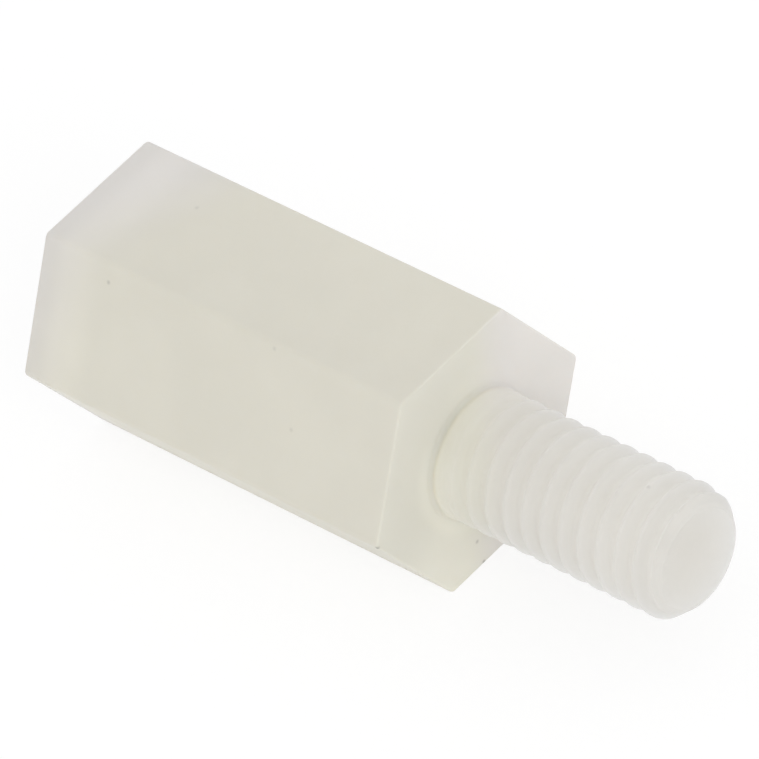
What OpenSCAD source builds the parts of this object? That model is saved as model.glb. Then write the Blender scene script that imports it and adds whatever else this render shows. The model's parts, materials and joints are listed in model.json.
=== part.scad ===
// Male-female hex standoff, moulded in one piece.
//
// The standoff lies on one of its flats. Its axis runs along X, with the stud towards +X,
// and the origin is on the axis at the shoulder, where the stud leaves the hexagonal body.
// Threads are drawn as plain cylinders: the stud at its outside diameter, the bore at its
// tapping diameter. All sizes are in millimetres.

/* [Hex body] */
// Width across opposite flats
across_flats = 5.5; // [4.5:0.1:12]
// Length of the hexagonal body, from the open end to the shoulder
body_length = 10; // [8.5:0.5:60]
// Radius on the six long edges
long_edge_radius = 0.15; // [0.05:0.05:0.6]
// Radius round both end faces
end_edge_radius = 0.05; // [0.03:0.01:0.3]

/* [Stud] */
// Outside diameter of the male thread
stud_diameter = 2.9; // [1.5:0.05:4]
// Length of the stud, from the shoulder to its tip
stud_length = 6; // [2:0.5:25]
// Length of the tip's chamfer along the axis
tip_chamfer_length = 0.35; // [0.1:0.05:1]
// Depth of the tip's chamfer into the radius
tip_chamfer_depth = 0.3; // [0.1:0.05:0.7]

/* [Bore] */
// Tapping diameter of the female thread
bore_diameter = 2.5; // [1.5:0.05:3.1]
// Depth of the bore at its full diameter, from the open end
bore_depth = 7; // [2:0.5:7.5]
// Diameter of the countersink at the bore's mouth
mouth_diameter = 3.2; // [3.15:0.05:4.2]
// Angle across the countersink
mouth_angle = 90; // [60:5:120]
// Angle across the pointed end of the bore
point_angle = 118; // [90:1:150]

/* [Hidden] */
$fn = 64;

sides = 6;
corner_angle = 360 / sides;
nylon_colour = [0.85, 0.83, 0.78];

// A cut runs past the face that it opens, and the stud runs into the body, by this much
overrun = 0.1;

across_corners = across_flats / cos(corner_angle / 2);
// The centre of a corner's rounding, measured from the axis
rounding_centre = (across_flats / 2 - long_edge_radius) / cos(corner_angle / 2);

stud_radius = stud_diameter / 2;
tip_radius = stud_radius - tip_chamfer_depth;

bore_radius = bore_diameter / 2;
mouth_radius = mouth_diameter / 2;
mouth_depth = (mouth_radius - bore_radius) / tan(mouth_angle / 2);
mouth_flare = overrun * tan(mouth_angle / 2);
point_depth = bore_radius / tan(point_angle / 2);

// A point at a distance from the centre, in the direction of an angle
function polar(distance, angle) = [distance * cos(angle), distance * sin(angle)];

// Turns a shape built along +Z so that it runs along +X
module along_axis() {
    rotate([0, 90, 0]) children();
}

// Side view of the body across one pair of flats, with its four corners rounded
module rounded_side_view() {
    inner_length = body_length - 2 * end_edge_radius;
    inner_width = across_flats - 2 * end_edge_radius;
    translate([-across_flats / 2, 0])
        union() {
            translate([0, end_edge_radius])
                square([across_flats, inner_length]);
            translate([end_edge_radius, 0])
                square([inner_width, body_length]);
            for (u = [0, inner_width], v = [0, inner_length])
                translate([end_edge_radius + u, end_edge_radius + v])
                    circle(r = end_edge_radius);
        }
}

// A slab as thick as the body is across flats, with rounded ends
module rounded_slab() {
    rotate([90, 0, 0])
        linear_extrude(across_corners + 2 * overrun, center = true)
            rounded_side_view();
}

// What the rounding of a long edge takes off, drawn about the rounding's centre, with the
// sharp corner towards the first axis
module long_edge_waste() {
    reach = long_edge_radius + overrun;
    difference() {
        polygon([
            [0, 0],
            polar(reach, -corner_angle / 2),
            [reach / cos(corner_angle / 2), 0],
            polar(reach, corner_angle / 2),
        ]);
        circle(r = long_edge_radius);
    }
}

// The hexagonal body before boring: three slabs cross in it, and it stands on the plane z = 0
module hex_blank() {
    difference() {
        intersection_for (pair = [0 : sides / 2 - 1])
            rotate([0, 0, pair * corner_angle]) rounded_slab();
        for (i = [0 : sides - 1])
            rotate([0, 0, (i + 0.5) * corner_angle])
                translate([rounding_centre, 0, -overrun])
                    linear_extrude(body_length + 2 * overrun)
                        long_edge_waste();
    }
}

// The male end: a turned stud with a chamfered tip, rising from z = 0
module stud() {
    rotate_extrude()
        polygon([
            [0, -overrun],
            [stud_radius, -overrun],
            [stud_radius, stud_length - tip_chamfer_length],
            [tip_radius, stud_length],
            [0, stud_length],
        ]);
}

// The female end: a countersunk, tapping-size blind hole that opens at z = 0
module bore() {
    rotate_extrude()
        polygon([
            [0, -overrun],
            [mouth_radius + mouth_flare, -overrun],
            [bore_radius, mouth_depth],
            [bore_radius, bore_depth],
            [0, bore_depth + point_depth],
        ]);
}

module hex_standoff() {
    color(nylon_colour)
        along_axis()
            union() {
                translate([0, 0, -body_length])
                    difference() {
                        hex_blank();
                        bore();
                    }
                stud();
            }
}

hex_standoff();
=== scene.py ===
"""The looks of a natural nylon hex standoff that lies on a white table.

Shapes are worked out in millimetres, in the CAD part's own frame: the axis runs along X, the
origin is at the shoulder and the stud points towards +X. They become metres in the last step.
"""
import json
import math

import bpy
from mathutils import Matrix, Vector


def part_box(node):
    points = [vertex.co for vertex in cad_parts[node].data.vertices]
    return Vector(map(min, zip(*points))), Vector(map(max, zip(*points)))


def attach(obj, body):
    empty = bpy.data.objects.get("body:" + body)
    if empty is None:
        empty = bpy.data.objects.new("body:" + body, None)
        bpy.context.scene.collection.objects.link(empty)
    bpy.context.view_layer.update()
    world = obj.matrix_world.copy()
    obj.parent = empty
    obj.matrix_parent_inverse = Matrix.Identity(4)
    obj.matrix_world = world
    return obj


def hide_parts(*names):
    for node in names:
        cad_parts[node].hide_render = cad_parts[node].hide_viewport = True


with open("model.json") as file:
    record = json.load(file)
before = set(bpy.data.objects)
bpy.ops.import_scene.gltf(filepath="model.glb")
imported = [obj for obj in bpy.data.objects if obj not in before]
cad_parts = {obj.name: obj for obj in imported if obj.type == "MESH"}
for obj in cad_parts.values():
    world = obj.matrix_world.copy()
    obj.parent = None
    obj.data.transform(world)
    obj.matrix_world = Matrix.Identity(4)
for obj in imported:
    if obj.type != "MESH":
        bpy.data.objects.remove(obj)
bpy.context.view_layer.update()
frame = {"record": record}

MM = 0.001
NODE = "hex_standoff"
BODY = "root"

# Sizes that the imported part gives
LOW, HIGH = (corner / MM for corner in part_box(NODE))
MOUNTS = {mount["name"]: mount for mount in frame["record"]["mounts"]}
MALE = MOUNTS["male_thread"]
FEMALE = MOUNTS["female_thread"]
APOTHEM = HIGH.z
OPEN_END = LOW.x
TIP = HIGH.x
SHOULDER = MALE["pos_m"][0] / MM
STUD_RADIUS = MALE["dims"]["r_mm"]
STUD_WALL_END = SHOULDER + MALE["dims"]["length_mm"]
BORE_RADIUS = FEMALE["dims"]["r_mm"]
BORE_WALL_START = FEMALE["pos_m"][0] / MM
BORE_WALL_END = BORE_WALL_START + FEMALE["dims"]["length_mm"]

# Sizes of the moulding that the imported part's box and mounts don't give
LONG_EDGE_RADIUS = 0.15
END_EDGE_RADIUS = 0.05
TIP_CHAMFER_DEPTH = 0.3
TIP_EDGE_RADIUS = 0.06
TIP_EDGE_TURN = math.pi / 4
STUD_ROOT_RADIUS = 0.1
MOUTH_EDGE_RADIUS = 0.05
MOUTH_RADIUS = BORE_RADIUS + (BORE_WALL_START - OPEN_END)
POINT_ANGLE = math.radians(118)
POINT_DEPTH = BORE_RADIUS / math.tan(POINT_ANGLE / 2)

# The thread, right-handed
PITCH = 0.5
THREAD_DEPTH = 0.2
THREAD_PHASE = 0.05
CREST_SHARE = 0.1
ROOT_SHARE = 0.2
ROUNDING_SHARE = 0.8
RUN_OUT_START = 0.25
RUN_OUT_LENGTH = 0.6
RINGS_PER_PITCH = 24
BORE_RINGS_PER_PITCH = 16

# How finely the outline is divided
SIDES = 6
HALF_SIDE = math.pi / SIDES
ARC_STEPS = 6
FLAT_STEPS = 16
EDGE_STEPS = 6
FACE_STEPS = 5
BODY_STEPS = 12
TIP_SHARES = (0.3, 0.6, 0.9, 1.0)
POINT_SHARES = (0.3, 0.6, 0.9)

# A row of points this far from a rounded edge keeps the shading of the flats flat
SUPPORT = 0.05

# Camera, fitted to the photograph's outline
CAMERA_TARGET = Vector((-2.015, -0.38, 1.41))
CAMERA_DISTANCE = 225.6
CAMERA_AZIMUTH = math.radians(-37.74)
CAMERA_ELEVATION = math.radians(42.99)
CAMERA_ROLL = math.radians(15.6)
CAMERA_LENS = 524.2
CAMERA_SENSOR = 36.0
CAMERA_CLIP = (10.0, 10000.0)

# Light: levels are shares of a full white surround, sizes and distances are in millimetres
AMBIENT_LEVEL = 0.84
FLOOR_SIZE = 600.0
FLOOR_BOUNCE = 0.95
FLOOR_LIGHT = 0.12
FLOOR_SHADOW_SHARE = 0.25
FLOOR_GLOW = 0.78
LAMP_DISTANCE = 300.0
FILL_DIRECTION = (0.75, -0.35, 0.55)
FILL_SIZE = 120.0
FILL_LEVEL = 2.8
SIDE_DIRECTION = (0.9, -0.42, 0.1)
SIDE_SIZE = 200.0
SIDE_LEVEL = 0.45

# Screen colours from 0 to 255: the body, its shoulder, its paler ends, the thin stud and its root
BODY_COLOUR = (224, 221, 209)
SHOULDER_COLOUR = (224, 222, 211)
PALE_COLOUR = (222, 219, 215)
STUD_COLOUR = (206, 203, 196)
STUD_ROOT_COLOUR = (209, 207, 195)

# Where the stud's looks begin past the shoulder, and where those of its root end beside its wall
STUD_BLEND = 0.3
ROOT_SPAN = (0.1, 0.6)

# How far light goes in the nylon, in millimetres: least in the body's skin, farthest in the stud
BODY_REACH = 0.02
ROOT_REACH = 0.4
BORE_REACH = 2.0
STUD_REACH = 10.0

# Shares of that reach for red, green and blue
REACH_BY_COLOUR = (1.0, 0.95, 0.9)

# The skin: noise cells in a millimetre, and relief in millimetres
CLOUD_SCALE = 0.6
CLOUD_DETAIL = 3.0
CLOUD_SHARE = 0.012
NOISE_RANGE = (0.3, 0.7)
WAVE_SCALE = 0.9
WAVE_DETAIL = 1.0
GRAIN_SCALE = 9.0
GRAIN_DETAIL = 4.0
GRAIN_SHARE = 0.2
RELIEF_DEPTH = 0.02
RELIEF_STRENGTH = 0.6
ROUGHNESS = (0.5, 0.6)
REFRACTIVE_INDEX = 1.53

# Where the nylon is paler: across the shoulder and along the stud, and in from the open end, on a slant
SHOULDER_SLANT = 0.3
STUD_SLANT = 1.1
SHOULDER_PALE_SPAN = (-0.4, 0.9)
OPEN_END_SLANT = 0.45
OPEN_END_SLANT_LIMIT = 1.6
OPEN_END_PALE_SPAN = (0.3, 2.8)

# Light and shade painted in the nylon, as shares of its brightness, and where they lie; last, a faint
# darker smudge near the stud's tip
SHOULDER_LIFT = 0.1
LIFT_DIRECTION = (0.0, 0.75, -0.66)
LIFT_SPAN = (-2.2, 0.8)
NECK_LENGTH = 1.5
ROOT_GLOW = 0.055
ROOT_GLOW_DIRECTION = (0.0, -0.7, -0.7)
ROOT_GLOW_SPAN = (-0.6, 0.9)
END_BAND_GLOW = 0.045
END_BAND_RISE = (0.1, 0.9)
END_BAND_FALL = (0.9, 2.0)
TIP_SHADE = 0.155
TIP_BLEND = 1.0
ACROSS_SHADES = (0.99, 1.015)
ACROSS_SPAN = (-1.6, 1.4)
SMUDGE_PLACE = (5.9, -0.67, 1.0)
SMUDGE_RADIUS = 0.4
SMUDGE_SHADE = 0.04

# Specks: where they lie and how dark they are. Most are dirt; the two darkest, on the shoulder's rim at
# its bottom and its front corner, are painted shade from the part's contact shadow on the table
SPECK_RADIUS = 0.075
DIRT_AND_SHADE_SPECKS = (
    ((-8.11, -1.79, 2.41), 0.24),
    ((-7.66, 0.6, 2.75), 0.12),
    ((-3.48, -1.64, 2.66), 0.12),
    ((-2.7, -2.39, 1.36), 0.12),
    ((0.0, -0.63, -2.08), 0.28),
    # The next two are painted contact shadow, not dirt
    ((0.0, -0.6, -2.7), 0.4),
    ((-0.03, -3.13, -0.04), 0.45),
    ((4.93, 0.08, 1.45), 0.2),
)


def linear(colour):
    """A screen colour as linear RGBA, by the sRGB curve."""
    shares = [value / 255 for value in colour]
    return [s / 12.92 if s <= 0.04045 else ((s + 0.055) / 1.055) ** 2.4 for s in shares] + [1.0]


# Geometry


def ring_angles():
    """Angles from +Y towards +Z, closer together on the hexagon's rounded corners."""
    centre = (APOTHEM - LONG_EDGE_RADIUS) / math.cos(HALF_SIDE)
    arc = math.atan2(
        LONG_EDGE_RADIUS * math.sin(HALF_SIDE), centre + LONG_EDGE_RADIUS * math.cos(HALF_SIDE)
    )
    support = SUPPORT / APOTHEM
    flat_start = arc + support
    flat_end = 2 * HALF_SIDE - flat_start
    side = [-arc + 2 * arc * i / ARC_STEPS for i in range(ARC_STEPS + 1)]
    side += [flat_start + (flat_end - flat_start) * i / FLAT_STEPS for i in range(FLAT_STEPS + 1)]
    return [2 * HALF_SIDE * corner + angle for corner in range(SIDES) for angle in side]


ANGLES = ring_angles()


def hexagon_radius(angle, inset):
    """Distance from the axis to the rounded hexagon, drawn in by an inset."""
    apothem = APOTHEM - inset
    rounding = LONG_EDGE_RADIUS - inset
    centre = (apothem - rounding) / math.cos(HALF_SIDE)
    off_corner = abs((angle + HALF_SIDE) % (2 * HALF_SIDE) - HALF_SIDE)
    arc = math.atan2(rounding * math.sin(HALF_SIDE), centre + rounding * math.cos(HALF_SIDE))
    if off_corner >= arc:
        return apothem / math.cos(HALF_SIDE - off_corner)
    across = centre * math.sin(off_corner)
    return centre * math.cos(off_corner) + math.sqrt(rounding**2 - across**2)


def smooth_step(value, start, end):
    """0 before start, 1 after end, with an even curve between."""
    share = min(max((value - start) / (end - start), 0.0), 1.0)
    return share * share * (3 - 2 * share)


def thread_height(x, angle):
    """0 in the thread's root and 1 on its crest."""
    turns = (x - THREAD_PHASE) / PITCH - angle / (2 * math.pi)
    from_root = 0.5 - abs(turns % 1 - 0.5)
    flank = (from_root - ROOT_SHARE / 2) / (0.5 - ROOT_SHARE / 2 - CREST_SHARE / 2)
    flank = min(max(flank, 0.0), 1.0)
    return ROUNDING_SHARE * smooth_step(flank, 0, 1) + (1 - ROUNDING_SHARE) * flank


def stud_limit(x):
    """The stud's plain outline: a cylinder with a chamfered tip."""
    chamfer = (x - STUD_WALL_END) / (TIP - STUD_WALL_END)
    return STUD_RADIUS - TIP_CHAMFER_DEPTH * max(chamfer, 0.0)


def stud_radius(x, angle):
    """Distance from the axis to the male thread, which runs out before the shoulder."""
    depth = THREAD_DEPTH * smooth_step(x - SHOULDER, RUN_OUT_START, RUN_OUT_START + RUN_OUT_LENGTH)
    threaded = STUD_RADIUS - depth * (1 - thread_height(x, angle))
    return min(threaded, stud_limit(x))


def bore_radius(x, angle):
    """Distance from the axis to the female thread, or to the 45 degree countersink at its mouth."""
    depth = THREAD_DEPTH * smooth_step(BORE_WALL_END - x, RUN_OUT_START, RUN_OUT_START + RUN_OUT_LENGTH)
    threaded = BORE_RADIUS + depth * thread_height(x, angle)
    return max(threaded, MOUTH_RADIUS - (x - OPEN_END))


def ring(x, radius_at):
    """A closed ring of points round the axis."""
    radii = [(angle, radius_at(angle)) for angle in ANGLES]
    return [(x, r * math.cos(angle), r * math.sin(angle)) for angle, r in radii]


def circle(x, radius):
    """A plain round ring."""
    return ring(x, lambda angle: radius)


def steps(start, end, count):
    """Evenly spaced values from start to end, both included."""
    return [start + (end - start) * i / count for i in range(count + 1)]


def tip_rings():
    """The stud's flat tip and its rounded rim, from the middle outwards."""
    rim = STUD_RADIUS - TIP_CHAMFER_DEPTH - TIP_EDGE_RADIUS
    rings = [circle(TIP, rim * share) for share in TIP_SHARES]
    for turn in steps(0, TIP_EDGE_TURN, EDGE_STEPS)[1:]:
        x = TIP - TIP_EDGE_RADIUS * (1 - math.cos(turn))
        reach = rim + TIP_EDGE_RADIUS * math.sin(turn)
        rings.append(ring(x, lambda angle, x=x, reach=reach: min(reach, stud_radius(x, angle))))
    return rings


def stud_rings():
    """The male thread from below the tip's rim, and the fillet at the shoulder."""
    start = TIP - TIP_EDGE_RADIUS * (1 - math.cos(TIP_EDGE_TURN)) - PITCH / RINGS_PER_PITCH
    end = SHOULDER + STUD_ROOT_RADIUS
    count = round((start - end) / PITCH * RINGS_PER_PITCH)
    rings = [ring(x, lambda angle, x=x: stud_radius(x, angle)) for x in steps(start, end, count)]
    for turn in steps(0, math.pi / 2, EDGE_STEPS)[1:]:
        x = SHOULDER + STUD_ROOT_RADIUS * (1 - math.sin(turn))
        rings.append(circle(x, STUD_RADIUS + STUD_ROOT_RADIUS * (1 - math.cos(turn))))
    return rings


def face_rings(x, inner_radius, outward):
    """The flat end face between a circle and the hexagon's rounded end edge."""

    def reach(angle, share):
        return inner_radius + share * (hexagon_radius(angle, END_EDGE_RADIUS) - inner_radius)

    shares = steps(0, 1, FACE_STEPS)[1:]
    rings = [ring(x, lambda angle, share=share: reach(angle, share)) for share in shares]
    return rings if outward else rings[::-1]


def end_edge_rings(x, inwards):
    """The rounded edge at one end of the body, from the end face to the flats."""
    rings = []
    for turn in steps(0, math.pi / 2, EDGE_STEPS)[1:]:
        inset = END_EDGE_RADIUS * (1 - math.sin(turn))
        along = x + inwards * END_EDGE_RADIUS * (1 - math.cos(turn))
        rings.append(ring(along, lambda angle, inset=inset: hexagon_radius(angle, inset)))
    return rings


def flank_rings():
    """The six flats, from the shoulder's edge to the open end's edge."""
    start = SHOULDER - END_EDGE_RADIUS - SUPPORT
    end = OPEN_END + END_EDGE_RADIUS + SUPPORT
    return [ring(x, lambda angle: hexagon_radius(angle, 0.0)) for x in steps(start, end, BODY_STEPS)]


def bore_rings():
    """The countersunk mouth, the female thread and the drill point, from the open end inwards."""
    rings = [circle(OPEN_END, MOUTH_RADIUS + MOUTH_EDGE_RADIUS)]
    start = OPEN_END + MOUTH_EDGE_RADIUS / 2
    count = round((BORE_WALL_END - start) / PITCH * BORE_RINGS_PER_PITCH)
    for x in steps(start, BORE_WALL_END, count):
        rings.append(ring(x, lambda angle, x=x: bore_radius(x, angle)))
    for share in POINT_SHARES:
        rings.append(circle(BORE_WALL_END + share * POINT_DEPTH, (1 - share) * BORE_RADIUS))
    return rings


def lofted_mesh(name, rings, first_pole, last_pole):
    """A closed mesh through rings of equal length, with a point at each end."""
    count = len(ANGLES)
    points = [first_pole] + [point for one in rings for point in one] + [last_pole]
    last = len(points) - 1

    def index(i, j):
        return 1 + i * count + j % count

    faces = [(0, index(0, j), index(0, j + 1)) for j in range(count)]
    for i in range(len(rings) - 1):
        for j in range(count):
            faces.append((index(i, j), index(i + 1, j), index(i + 1, j + 1), index(i, j + 1)))
    end = len(rings) - 1
    faces += [(index(end, j), last, index(end, j + 1)) for j in range(count)]
    mesh = bpy.data.meshes.new(name)
    mesh.from_pydata([Vector(point) * MM for point in points], [], faces)
    mesh.validate()
    mesh.shade_smooth()
    return mesh


def make_moulding():
    """The whole standoff as one closed skin, from the stud's tip to the bottom of the bore."""
    rings = tip_rings() + stud_rings()
    rings += face_rings(SHOULDER, STUD_RADIUS + STUD_ROOT_RADIUS, True)
    rings += end_edge_rings(SHOULDER, -1)
    rings += flank_rings()
    rings += end_edge_rings(OPEN_END, 1)[::-1]
    rings += face_rings(OPEN_END, MOUTH_RADIUS + MOUTH_EDGE_RADIUS, False)
    rings += bore_rings()
    mesh = lofted_mesh("moulding", rings, (TIP, 0, 0), (BORE_WALL_END + POINT_DEPTH, 0, 0))
    moulding = bpy.data.objects.new("moulding", mesh)
    bpy.context.scene.collection.objects.link(moulding)
    return moulding


# Materials


class Nodes:
    """A node tree with short calls for the nodes that the materials use."""

    def __init__(self, tree):
        self.tree = tree
        tree.nodes.clear()

    def add(self, kind, inputs=(), **settings):
        """A new node, whose settings are made before its inputs."""
        node = self.tree.nodes.new(kind)
        for name, value in settings.items():
            setattr(node, name, value)
        for name, value in dict(inputs).items():
            self.put(node.inputs[name], value)
        return node

    def put(self, socket, value):
        """Links an input to another node's output, or sets it to a fixed value."""
        if isinstance(value, bpy.types.NodeSocket):
            self.tree.links.new(value, socket)
        else:
            socket.default_value = value

    def result(self, kind, values, **settings):
        """What a new node gives when the inputs that it has in use take these values in turn."""
        node = self.add(kind, **settings)
        for socket, value in zip([s for s in node.inputs if s.enabled], values):
            self.put(socket, value)
        return next(s for s in node.outputs if s.enabled)

    def math(self, operation, first, second):
        """One number from two."""
        return self.result("ShaderNodeMath", (first, second), operation=operation)

    def product(self, first, *others):
        """Several numbers multiplied."""
        for other in others:
            first = self.math("MULTIPLY", first, other)
        return first

    def vector_math(self, operation, *values):
        """A vector, or a number where the operation gives a length, a distance or a dot product."""
        return self.result("ShaderNodeVectorMath", values, operation=operation)

    def ramp(self, value, start, end, low=0.0, high=1.0):
        """Goes smoothly from low at start to high at end."""
        inputs = {"Value": value, "From Min": start, "From Max": end, "To Min": low, "To Max": high}
        node = self.add("ShaderNodeMapRange", inputs, interpolation_type="SMOOTHSTEP")
        return node.outputs["Result"]

    def between(self, share, low, high):
        """Goes smoothly from low to high as a share goes from 0 to 1."""
        return self.ramp(share, 0.0, 1.0, low, high)

    def mix(self, share, first, second):
        """A colour between two others."""
        return self.result("ShaderNodeMix", (share, first, second), data_type="RGBA")

    def noise(self, vector, scale, detail):
        """Cloudy noise from 0 to 1."""
        node = self.add("ShaderNodeTexNoise", {"Vector": vector, "Scale": scale, "Detail": detail})
        return node.outputs["Fac"]

    def spot(self, point, centre, radius, shade):
        """A round spot that is darker in its middle by a share, and 1 outside it."""
        distance = self.vector_math("DISTANCE", point, centre)
        return self.ramp(distance, 0.0, radius, 1 - shade, 1.0)

    def shown_rays(self):
        """1 for rays that show a surface itself: from the camera, in gloss and through glass."""
        path = self.add("ShaderNodeLightPath").outputs
        seen = self.math("MAXIMUM", path["Is Camera Ray"], path["Is Glossy Ray"])
        return self.math("MAXIMUM", seen, path["Is Transmission Ray"])


class Place:
    """Where a point of the nylon lies: its coordinates in millimetres, and shares from 0 to 1."""

    def __init__(self, nodes):
        metres = nodes.add("ShaderNodeTexCoord").outputs["Object"]
        self.point = nodes.vector_math("SCALE", metres, 1 / MM)
        axes = nodes.add("ShaderNodeSeparateXYZ", {0: self.point}).outputs
        self.x, self.y, self.z = axes["X"], axes["Y"], axes["Z"]
        self.from_open_end = nodes.math("SUBTRACT", self.x, OPEN_END)
        across = nodes.vector_math("MULTIPLY", self.point, (0.0, 1.0, 1.0))
        self.radius = nodes.vector_math("LENGTH", across)
        self.past_shoulder = nodes.ramp(self.x, SHOULDER - END_EDGE_RADIUS, SHOULDER)
        self.on_stud = nodes.ramp(self.x, SHOULDER, SHOULDER + STUD_BLEND)
        from_stud = nodes.math("SUBTRACT", self.radius, STUD_RADIUS)
        self.beside_stud = nodes.ramp(from_stud, *ROOT_SPAN, 1.0, 0.0)


def pale_share(nodes, place):
    """1 where the nylon is paler: part of the shoulder's face, most of the stud, and the open end."""
    across = nodes.math("SUBTRACT", place.y, nodes.math("MULTIPLY", place.z, SHOULDER_SLANT))
    slanted = nodes.math("ADD", across, nodes.math("MULTIPLY", place.x, STUD_SLANT))
    shoulder = nodes.product(place.past_shoulder, nodes.ramp(slanted, *SHOULDER_PALE_SPAN))

    side = nodes.math("MINIMUM", place.y, OPEN_END_SLANT_LIMIT)
    along = nodes.math("SUBTRACT", place.from_open_end, nodes.math("MULTIPLY", side, OPEN_END_SLANT))
    open_end = nodes.ramp(along, *OPEN_END_PALE_SPAN, 1.0, 0.0)
    return nodes.math("MAXIMUM", shoulder, open_end)


def brightness(nodes, place):
    """The light and shade painted in the nylon, its clouds and its specks, as one factor."""
    cloud_noise = nodes.noise(place.point, CLOUD_SCALE, CLOUD_DETAIL)
    clouds = nodes.ramp(cloud_noise, *NOISE_RANGE, 1 - CLOUD_SHARE, 1 + CLOUD_SHARE)
    # Painted shade across the part, a little darker to the front and lighter to the back
    across = nodes.ramp(place.y, *ACROSS_SPAN, *ACROSS_SHADES)
    # Painted shade on the stud's tip, which the lamps light more than the rest of the stud
    tip = nodes.ramp(place.x, STUD_WALL_END - TIP_BLEND, TIP, 1.0, 1 - TIP_SHADE)

    # Painted light in a band in from the open end, where light comes through the nylon
    band_rise = nodes.ramp(place.from_open_end, *END_BAND_RISE)
    band_fall = nodes.ramp(place.from_open_end, *END_BAND_FALL, 1.0, 0.0)
    end_band = nodes.between(nodes.product(band_rise, band_fall), 1.0, 1 + END_BAND_GLOW)

    # Painted light on the shoulder's face below the stud and at the stud's root, against the shade that
    # the stud casts there
    neck_fall = nodes.ramp(place.x, SHOULDER, SHOULDER + NECK_LENGTH, 1.0, 0.0)
    at_neck = nodes.product(place.past_shoulder, neck_fall)
    lift_side = nodes.vector_math("DOT_PRODUCT", place.point, LIFT_DIRECTION)
    lift = nodes.product(at_neck, nodes.ramp(lift_side, *LIFT_SPAN))
    shoulder = nodes.between(lift, 1.0, 1 + SHOULDER_LIFT)
    glow_side = nodes.vector_math("DOT_PRODUCT", place.point, ROOT_GLOW_DIRECTION)
    glow = nodes.product(at_neck, place.beside_stud, nodes.ramp(glow_side, *ROOT_GLOW_SPAN))
    root = nodes.between(glow, 1.0, 1 + ROOT_GLOW)

    smudge = nodes.spot(place.point, SMUDGE_PLACE, SMUDGE_RADIUS, SMUDGE_SHADE)
    # Dark specks: dirt, and two of painted contact shadow on the shoulder's rim
    specks = [nodes.spot(place.point, centre, SPECK_RADIUS, shade) for centre, shade in DIRT_AND_SHADE_SPECKS]
    return nodes.product(clouds, across, tip, end_band, shoulder, root, smudge, *specks)


def light_reach(nodes, place):
    """How far light goes below the skin, in metres."""
    past_mouth = nodes.ramp(place.x, BORE_WALL_START, BORE_WALL_START + PITCH)
    before_shoulder = nodes.ramp(place.x, BORE_WALL_END, SHOULDER, 1.0, 0.0)
    near_axis = nodes.ramp(place.radius, BORE_RADIUS + THREAD_DEPTH, MOUTH_RADIUS, 1.0, 0.0)
    in_bore = nodes.product(past_mouth, before_shoulder, near_axis)
    at_root = nodes.product(place.past_shoulder, place.beside_stud)
    bore_reach = nodes.between(in_bore, BODY_REACH * MM, BORE_REACH * MM)
    root_reach = nodes.between(at_root, BODY_REACH * MM, ROOT_REACH * MM)
    stud_reach = nodes.between(place.on_stud, BODY_REACH * MM, STUD_REACH * MM)
    return nodes.math("MAXIMUM", bore_reach, nodes.math("MAXIMUM", root_reach, stud_reach))


def nylon_colour(nodes, place):
    """Warm on the body and stud's root, paler at the ends and along the stud, with painted light and
    shade.
    """
    pale = pale_share(nodes, place)
    warm_colour = nodes.mix(place.past_shoulder, linear(BODY_COLOUR), linear(SHOULDER_COLOUR))
    body_colour = nodes.mix(pale, warm_colour, linear(PALE_COLOUR))
    stud_colour = nodes.mix(pale, linear(STUD_ROOT_COLOUR), linear(STUD_COLOUR))
    colour = nodes.mix(place.on_stud, body_colour, stud_colour)
    return nodes.vector_math("SCALE", colour, brightness(nodes, place))


def nylon_material():
    """Milky natural nylon with faint clouding, a few specks, painted light and shade, and a satin skin.
    """
    material = bpy.data.materials.new("natural_nylon")
    material.use_nodes = True
    nodes = Nodes(material.node_tree)
    place = Place(nodes)
    grain = nodes.noise(place.point, GRAIN_SCALE, GRAIN_DETAIL)
    waves = nodes.noise(place.point, WAVE_SCALE, WAVE_DETAIL)
    relief = nodes.math("ADD", nodes.math("MULTIPLY", grain, GRAIN_SHARE), waves)
    bump = nodes.add(
        "ShaderNodeBump", {"Strength": RELIEF_STRENGTH, "Distance": RELIEF_DEPTH * MM, "Height": relief}
    )
    shader = nodes.add(
        "ShaderNodeBsdfPrincipled",
        {
            "Base Color": nylon_colour(nodes, place),
            "Roughness": nodes.ramp(grain, *NOISE_RANGE, *ROUGHNESS),
            "IOR": REFRACTIVE_INDEX,
            "Normal": bump.outputs["Normal"],
            "Subsurface Weight": 1.0,
            "Subsurface Radius": REACH_BY_COLOUR,
            "Subsurface Scale": light_reach(nodes, place),
        },
    )
    output = nodes.add("ShaderNodeOutputMaterial")
    nodes.put(output.inputs["Surface"], shader.outputs["BSDF"])
    return material


def floor_material():
    """A white table, which shows as white with the part's shadow.

    It lights the part as matt white paint does, with a little light of its own.
    """
    material = bpy.data.materials.new("white_table")
    material.use_nodes = True
    nodes = Nodes(material.node_tree)
    matt = nodes.add("ShaderNodeBsdfDiffuse", {"Color": [FLOOR_BOUNCE] * 3 + [1.0]})
    light = nodes.add("ShaderNodeEmission", {"Color": [1.0] * 4, "Strength": FLOOR_LIGHT})
    paint = nodes.add("ShaderNodeAddShader", {0: matt.outputs[0], 1: light.outputs[0]})
    shadow = nodes.add("ShaderNodeBsdfDiffuse", {"Color": [FLOOR_SHADOW_SHARE] * 3 + [1.0]})
    glow = nodes.add("ShaderNodeEmission", {"Color": [1.0] * 4, "Strength": FLOOR_GLOW})
    shown = nodes.add("ShaderNodeAddShader", {0: shadow.outputs[0], 1: glow.outputs[0]})
    inputs = {0: nodes.shown_rays(), 1: paint.outputs[0], 2: shown.outputs[0]}
    output = nodes.add("ShaderNodeOutputMaterial")
    nodes.put(output.inputs["Surface"], nodes.add("ShaderNodeMixShader", inputs).outputs[0])
    return material


# Stage


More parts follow.
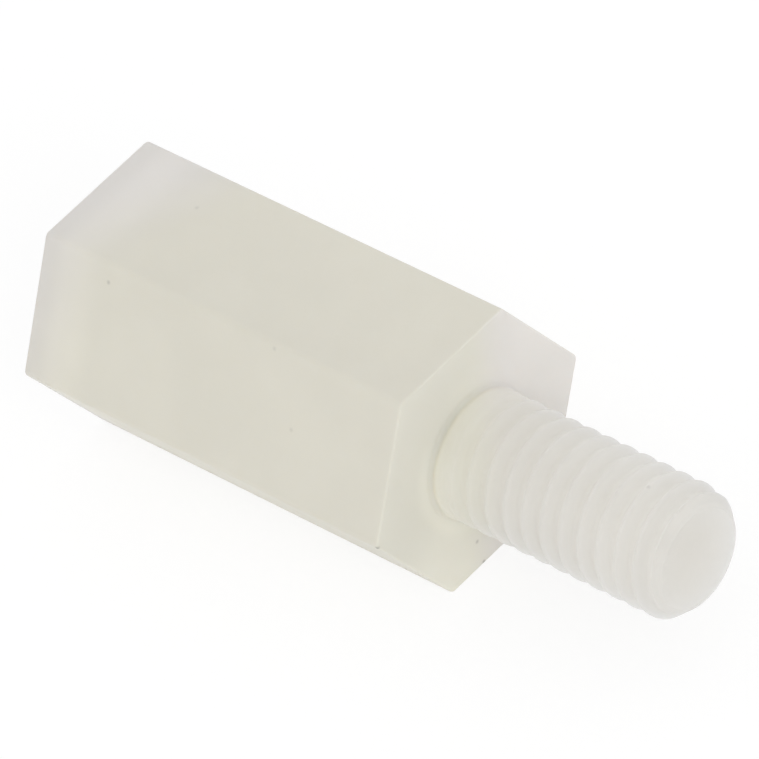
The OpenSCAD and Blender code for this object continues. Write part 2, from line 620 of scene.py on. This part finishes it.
def make_floor():
    """The table top, level with the flat that the part lies on."""
    half = FLOOR_SIZE / 2 * MM
    level = LOW.z * MM
    mesh = bpy.data.meshes.new("table")
    corners = [(x, y, level) for x, y in ((-half, -half), (half, -half), (half, half), (-half, half))]
    mesh.from_pydata(corners, [], [(0, 1, 2, 3)])
    mesh.materials.append(floor_material())
    floor = bpy.data.objects.new("table", mesh)
    bpy.context.scene.collection.objects.link(floor)


def make_world():
    """A surround that lights the part evenly from all sides and shows as full white."""
    world = bpy.data.worlds.new("white_surround")
    bpy.context.scene.world = world
    world.use_nodes = True
    nodes = Nodes(world.node_tree)
    level = nodes.between(nodes.shown_rays(), AMBIENT_LEVEL, 1.0)
    background = nodes.add("ShaderNodeBackground", {"Color": [1.0] * 4, "Strength": level})
    output = nodes.add("ShaderNodeOutputWorld")
    nodes.put(output.inputs["Surface"], background.outputs[0])


def make_softbox(name, direction, size, level):
    """A square lamp that faces the part and stays out of its gloss."""
    lamp = bpy.data.lights.new(name, "AREA")
    lamp.size = size * MM
    lamp.energy = level * math.pi * (size * MM) ** 2
    box = bpy.data.objects.new(name, lamp)
    aim = Vector(direction).normalized()
    box.location = aim * LAMP_DISTANCE * MM
    box.rotation_euler = aim.to_track_quat("Z", "Y").to_euler()
    box.visible_camera = False
    box.visible_glossy = False
    bpy.context.scene.collection.objects.link(box)


def make_camera():
    """The photograph's view, with its roll and long lens."""
    level = math.cos(CAMERA_ELEVATION)
    height = math.sin(CAMERA_ELEVATION)
    back = Vector((level * math.cos(CAMERA_AZIMUTH), level * math.sin(CAMERA_AZIMUTH), height))
    turn = back.to_track_quat("Z", "Y").to_matrix() @ Matrix.Rotation(-CAMERA_ROLL, 3, "Z")
    data = bpy.data.cameras.new("camera")
    data.lens = CAMERA_LENS
    data.sensor_width = CAMERA_SENSOR
    data.clip_start, data.clip_end = (distance * MM for distance in CAMERA_CLIP)
    camera = bpy.data.objects.new("camera", data)
    place = (CAMERA_TARGET + back * CAMERA_DISTANCE) * MM
    camera.matrix_world = Matrix.Translation(place) @ turn.to_4x4()
    bpy.context.scene.collection.objects.link(camera)
    bpy.context.scene.camera = camera


moulding = make_moulding()
moulding.data.materials.append(nylon_material())
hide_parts(NODE)
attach(moulding, BODY)

make_floor()
make_world()
make_softbox("fill_softbox", FILL_DIRECTION, FILL_SIZE, FILL_LEVEL)
make_softbox("side_softbox", SIDE_DIRECTION, SIDE_SIZE, SIDE_LEVEL)
make_camera()
bpy.context.scene.view_settings.view_transform = "Standard"
